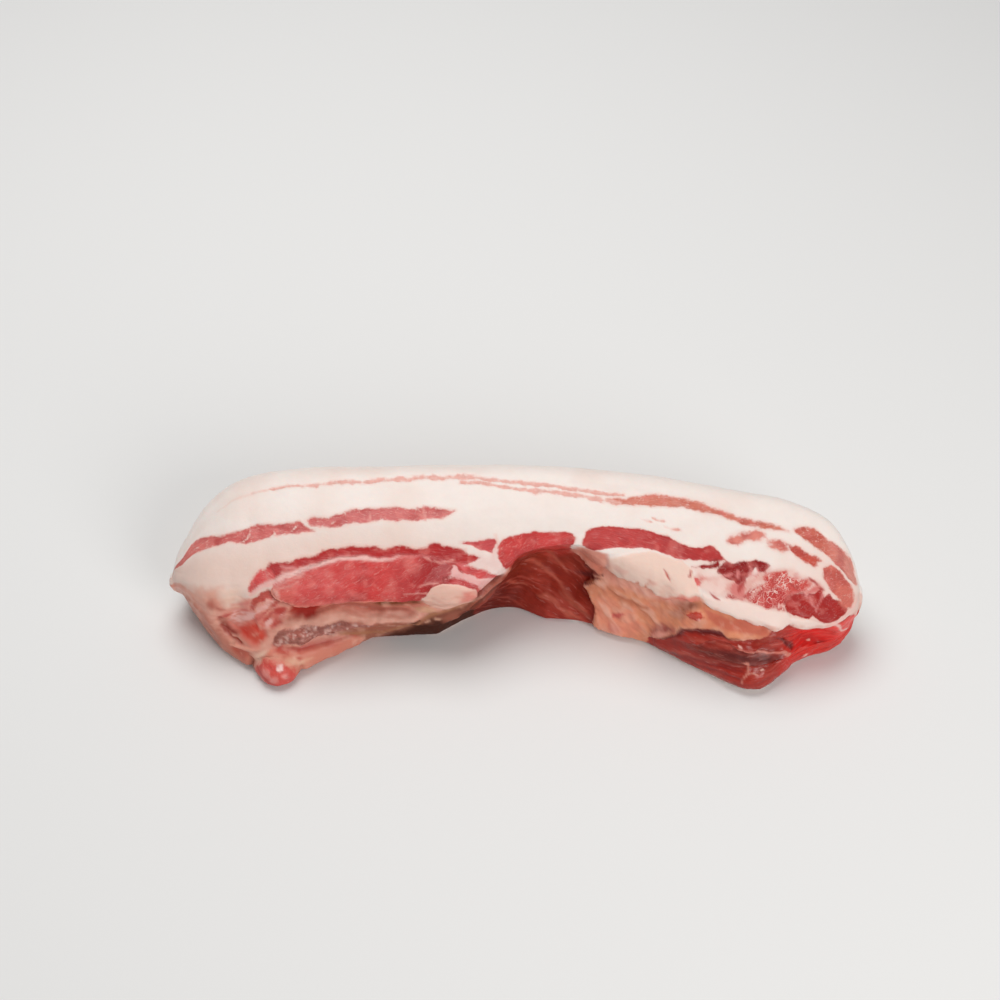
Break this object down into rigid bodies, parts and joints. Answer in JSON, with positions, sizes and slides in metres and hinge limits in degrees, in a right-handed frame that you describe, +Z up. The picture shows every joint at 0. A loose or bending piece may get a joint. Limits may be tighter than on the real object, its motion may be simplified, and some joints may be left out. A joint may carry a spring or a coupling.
{
  "type": "pork belly slab",
  "caption": "Raw pork belly strip lying on a cut face, with layered fat and lean on top, skin behind and an uneven rib side with a hollow in front.",
  "frame": {"origin": "middle of the bounding box on the surface that the slab lies on", "axes": "+X along the strip to the end with the shank muscle, +Y from the rib side to the skin, +Z up from the lower cut face to the upper one"},
  "size_m": [0.2568, 0.0816, 0.0489],
  "materials": {
    "raw_pork": "satin"
  },
  "bodies": {
    "root": {"pork_belly_slab": "raw_pork"}
  },
  "joints": []
}
